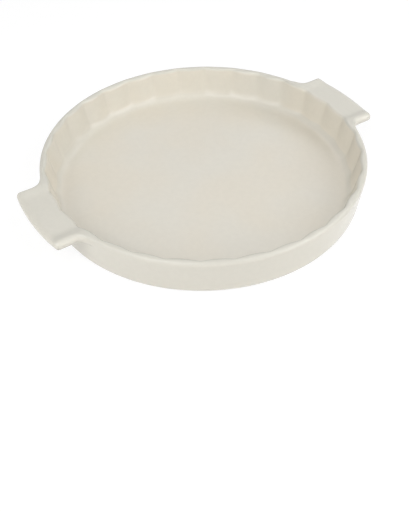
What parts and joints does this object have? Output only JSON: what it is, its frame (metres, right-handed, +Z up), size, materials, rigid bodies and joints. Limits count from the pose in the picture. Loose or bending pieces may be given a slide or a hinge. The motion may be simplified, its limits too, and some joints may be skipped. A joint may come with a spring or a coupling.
{
  "type": "pie dish",
  "caption": "Round shallow stoneware pie dish with a smooth tapering outside, a fluted inner wall, a flat floor and two flat tab handles.",
  "frame": {"origin": "on the table under the middle of the dish", "axes": "+Z up out of the dish, +X along the line through both handles"},
  "size_m": [0.3448, 0.3, 0.038],
  "materials": {
    "cream_glaze": "smooth cream glaze, softly glossy",
    "bare_stoneware": "unglazed, ground flat, matt"
  },
  "bodies": {
    "root": {"base": "cream_glaze", "fluted_wall": "cream_glaze", "handle_left": "cream_glaze", "handle_right": "cream_glaze", "foot_ring": "bare_stoneware"}
  },
  "joints": []
}
